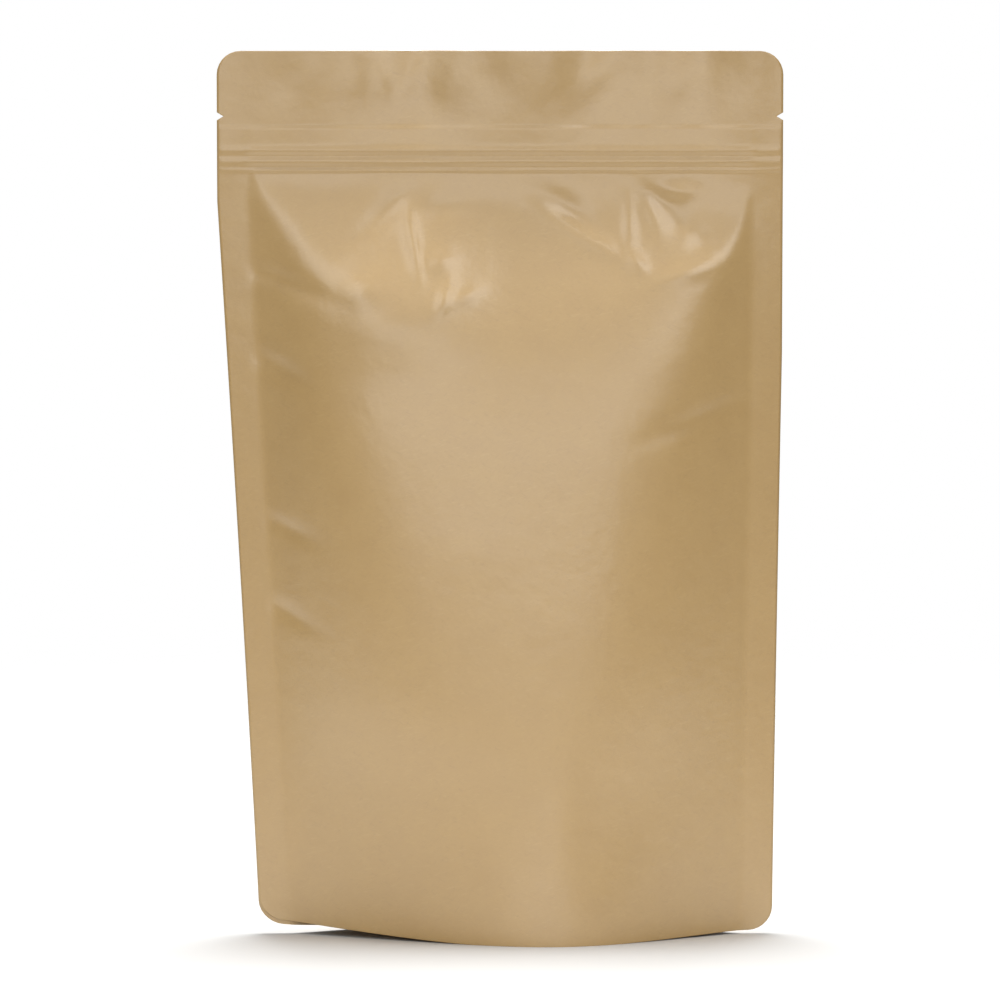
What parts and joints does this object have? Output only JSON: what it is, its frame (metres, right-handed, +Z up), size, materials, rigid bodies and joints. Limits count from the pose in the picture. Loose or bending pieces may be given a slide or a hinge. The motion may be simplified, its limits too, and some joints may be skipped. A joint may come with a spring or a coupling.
{
  "type": "stand-up pouch",
  "caption": "Plain kraft stand-up pouch, part filled, with side seals, tear notches, a zip pressed shut below its flat top and a gusseted foot that lets it stand by itself.",
  "frame": {"origin": "on the table, in the middle of the pouch's bounding box", "axes": "+Z up from foot to top edge, the front panel faces -Y, and +X points to the right as the front is seen"},
  "size_m": [0.13, 0.0402, 0.2044],
  "materials": {
    "kraft_laminate": "satin kraft paper laminated on film"
  },
  "bodies": {
    "root": {"pouch": "kraft_laminate"}
  },
  "joints": []
}
